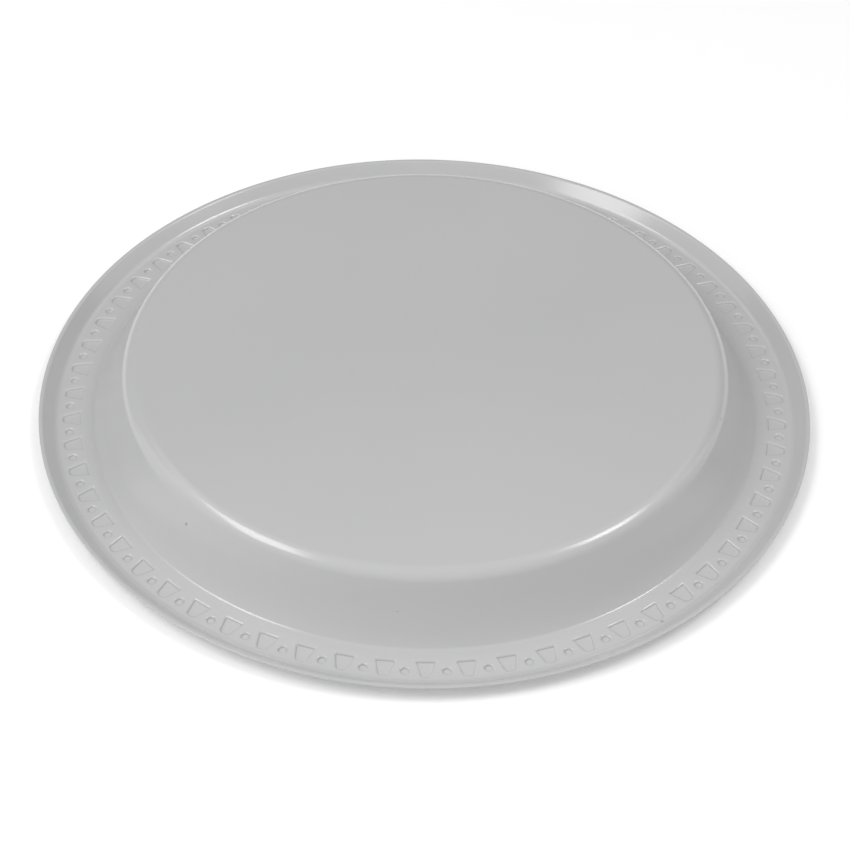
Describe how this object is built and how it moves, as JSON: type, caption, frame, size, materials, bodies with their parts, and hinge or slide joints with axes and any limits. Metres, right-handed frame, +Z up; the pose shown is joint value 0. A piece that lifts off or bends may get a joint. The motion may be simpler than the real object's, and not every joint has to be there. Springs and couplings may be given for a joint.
{
  "type": "disposable plastic plate",
  "caption": "Round disposable plate formed from one thin plastic sheet, lying face down: sloping wall, flat rim with a pressed ring of wedges and beads, raised lip.",
  "frame": {"origin": "centre of the surface that the plate's rim lies on, face down", "axes": "+Z up along the plate's axis, out of the underside of its well; +X points at a wedge of the rim's pattern"},
  "size_m": [0.2286, 0.2286, 0.019],
  "materials": {
    "white_plastic": "glossy, very light grey white, smooth"
  },
  "bodies": {
    "root": {"plate": "white_plastic"}
  },
  "joints": []
}
